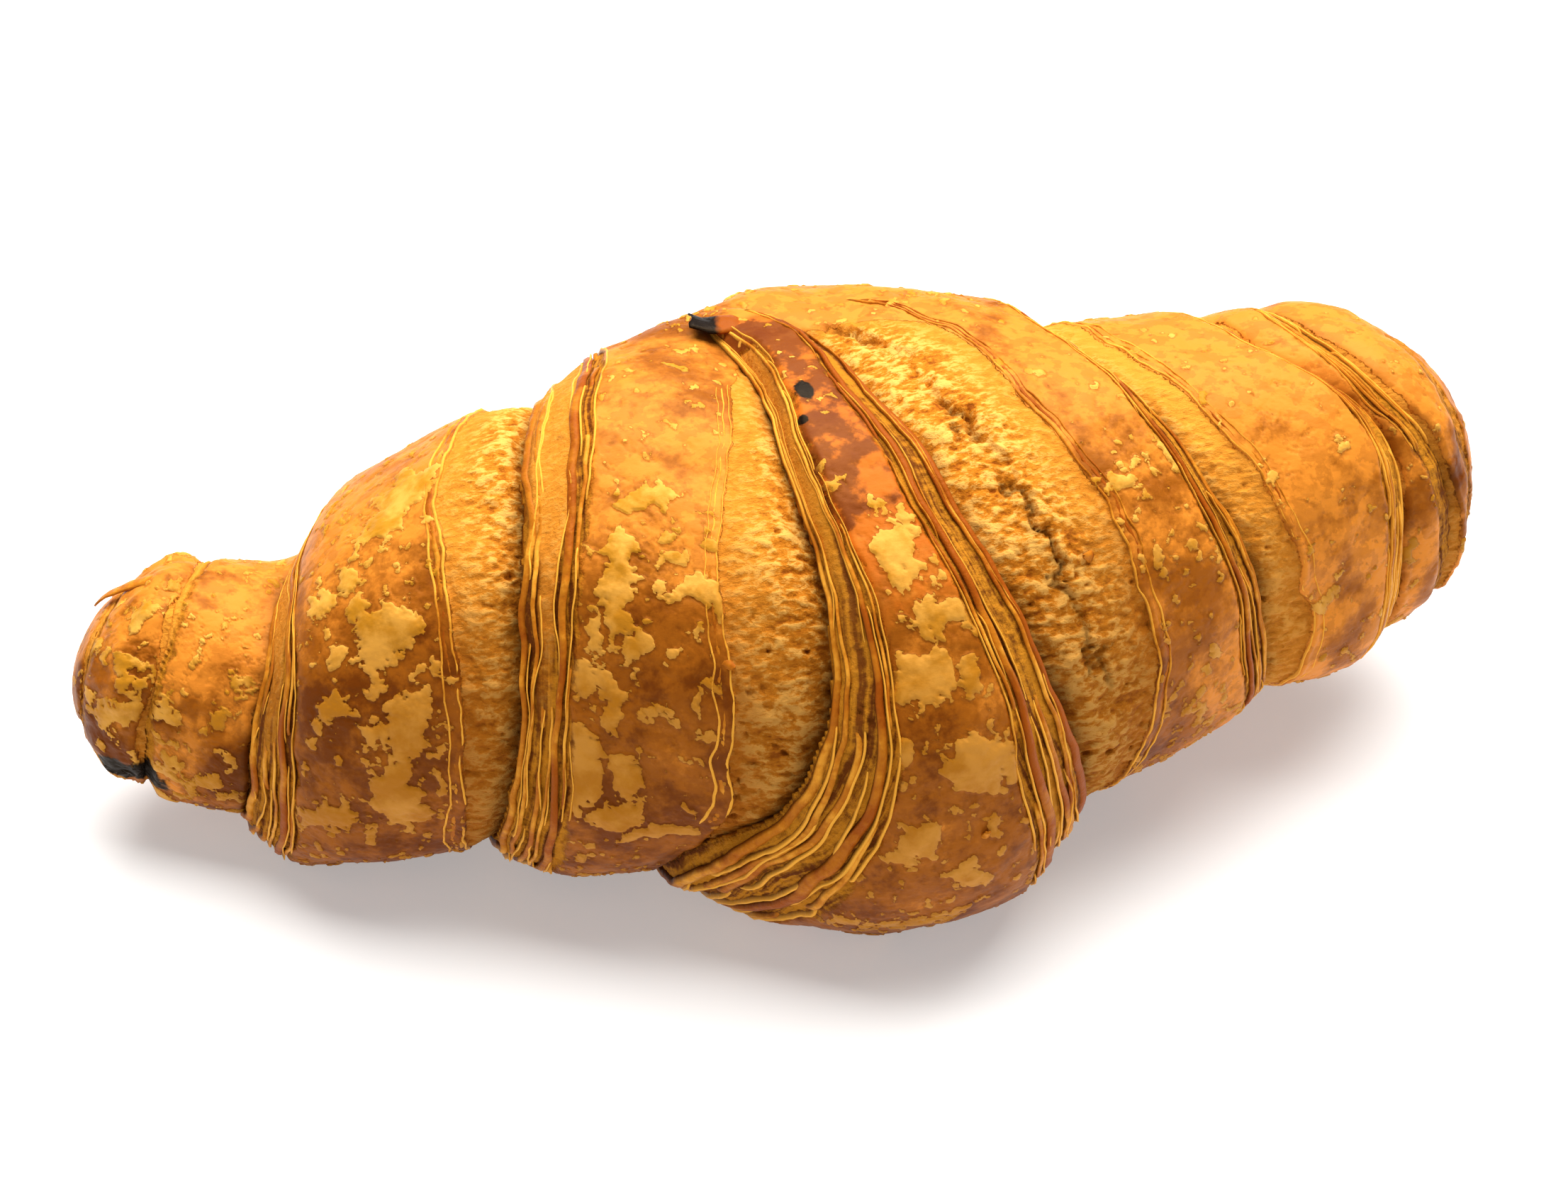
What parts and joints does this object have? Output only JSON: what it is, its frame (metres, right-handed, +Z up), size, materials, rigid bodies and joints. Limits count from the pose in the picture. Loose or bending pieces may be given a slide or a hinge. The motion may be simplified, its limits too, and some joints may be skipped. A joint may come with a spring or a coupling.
{
  "type": "croissant",
  "caption": "Rolled and baked butter croissant with stepped laps, open laminated edges, swept-back horns and a curled point on top.",
  "frame": {"origin": "under the middle of the croissant's box, on the surface it lies on", "axes": "+X along the roll, from the thinner horn to the thicker one; +Y towards the back, the way both horns sweep; +Z up"},
  "size_m": [0.152, 0.0772, 0.0542],
  "materials": {
    "crust": "baked golden-brown crust, thin and crisp, half matt with a soft egg-wash gleam, paler blistered skins and a rough honeycomb crumb where the laps have torn open"
  },
  "bodies": {
    "root": {"croissant": "crust"}
  },
  "joints": []
}
